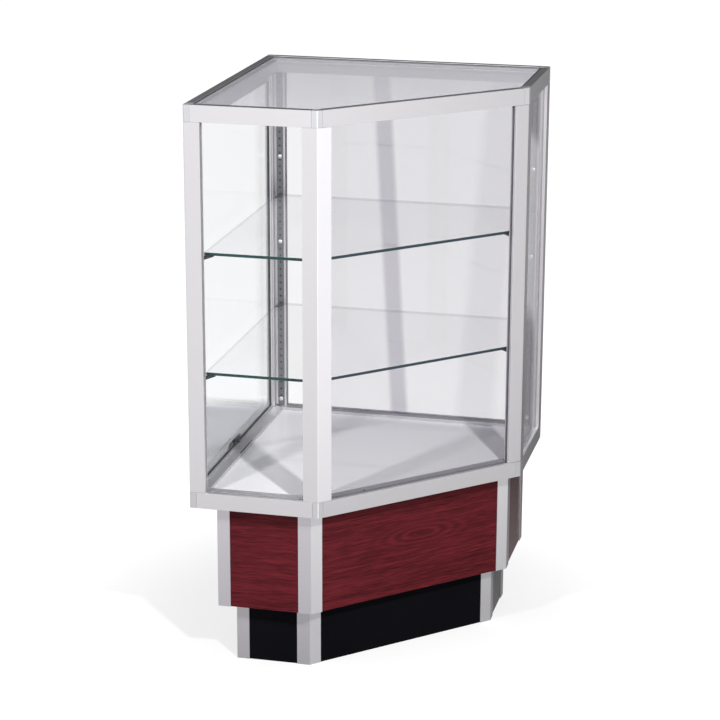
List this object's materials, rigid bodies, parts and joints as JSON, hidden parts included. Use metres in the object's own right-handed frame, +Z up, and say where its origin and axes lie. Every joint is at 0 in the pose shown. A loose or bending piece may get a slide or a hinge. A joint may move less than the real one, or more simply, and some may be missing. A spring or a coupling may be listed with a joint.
{
  "type": "corner display case",
  "caption": "Corner showcase with a splayed front: aluminium and glass case, lift-up locking rear door, glass shelves on clips, wood-faced base and recessed kick.",
  "frame": {"origin": "centre of the bounding box in plan, on the floor", "axes": "+Z up; -Y out of the left side, +X out of the right side, and the splayed front faces +X-Y; the rear door faces -X"},
  "size_m": [0.508, 0.508, 0.9652],
  "materials": {
    "aluminium": "satin anodised",
    "corner_metal": "cast and satin painted",
    "zinc_steel": "zinc plated",
    "clip_metal": "black",
    "dark_metal": "satin black",
    "clear_glass": "polished",
    "shelf_glass": "polished edges",
    "black_rubber": "matte",
    "white_laminate": "white laminate on board",
    "mahogany": "mahogany laminate on board",
    "black_laminate": "black laminate on board"
  },
  "bodies": {
    "case": {"top_rail_back_left": "aluminium", "top_rail_left": "aluminium", "top_rail_front": "aluminium", "top_rail_right": "aluminium", "top_rail_back_right": "aluminium", "top_corner_back": "corner_metal", "top_corner_left": "corner_metal", "top_corner_front_left": "corner_metal", "top_corner_front_right": "corner_metal", "top_corner_right": "corner_metal", "post_back": "aluminium", "post_left": "aluminium", "post_front_left": "aluminium", "post_front_right": "aluminium", "post_right": "aluminium", "bottom_rail_back_left": "aluminium", "bottom_rail_left": "aluminium", "bottom_rail_front": "aluminium", "bottom_rail_right": "aluminium", "bottom_rail_back_right": "aluminium", "bottom_corner_back": "corner_metal", "bottom_corner_left": "corner_metal", "bottom_corner_front_left": "corner_metal", "bottom_corner_front_right": "corner_metal", "bottom_corner_right": "corner_metal", "glass_left": "clear_glass", "glass_front": "clear_glass", "glass_right": "clear_glass", "glass_back_right": "clear_glass", "top_glass": "clear_glass", "deck_panel": "white_laminate", "standard_back": "zinc_steel", "standard_right": "zinc_steel", "base_carcass": "mahogany", "kick_plinth": "black_laminate", "base_trim_back": "aluminium", "base_trim_left": "aluminium", "base_trim_front_left": "aluminium", "base_trim_front_right": "aluminium", "base_trim_right": "aluminium", "kick_trim_back": "aluminium", "kick_trim_left": "aluminium", "kick_trim_front_left": "aluminium", "kick_trim_front_right": "aluminium", "kick_trim_right": "aluminium"},
    "rear_door": {"door_glass": "clear_glass", "door_edge_seal": "black_rubber", "door_hinge_clamp": "aluminium", "lock_pull": "dark_metal"},
    "lock": {"lock_cylinder": "dark_metal"},
    "upper_shelf": {"upper_shelf": "shelf_glass", "upper_clip_back": "clip_metal", "upper_clip_left": "clip_metal", "upper_clip_front_right": "clip_metal", "upper_clip_right": "clip_metal"},
    "lower_shelf": {"lower_shelf": "shelf_glass", "lower_clip_back": "clip_metal", "lower_clip_left": "clip_metal", "lower_clip_front_right": "clip_metal", "lower_clip_right": "clip_metal"}
  },
  "joints": [
    {"name": "rear_door_hinge", "type": "hinge", "parent": "case", "child": "rear_door", "pos_m": [-0.2483, 0, 0.9346], "axis": [0, 1, 0], "range_deg": [0, 85]},
    {"name": "lock_turn", "type": "hinge", "parent": "rear_door", "child": "lock", "pos_m": [-0.2483, 0, 0.3218], "axis": [1, 0, 0], "range_deg": [0, 90]},
    {"name": "upper_shelf_height", "type": "slide", "parent": "case", "child": "upper_shelf", "axis": [0, 0, 1], "range_m": [-0.0762, 0.1143]},
    {"name": "lower_shelf_height", "type": "slide", "parent": "case", "child": "lower_shelf", "axis": [0, 0, 1], "range_m": [-0.1016, 0.0762]}
  ]
}
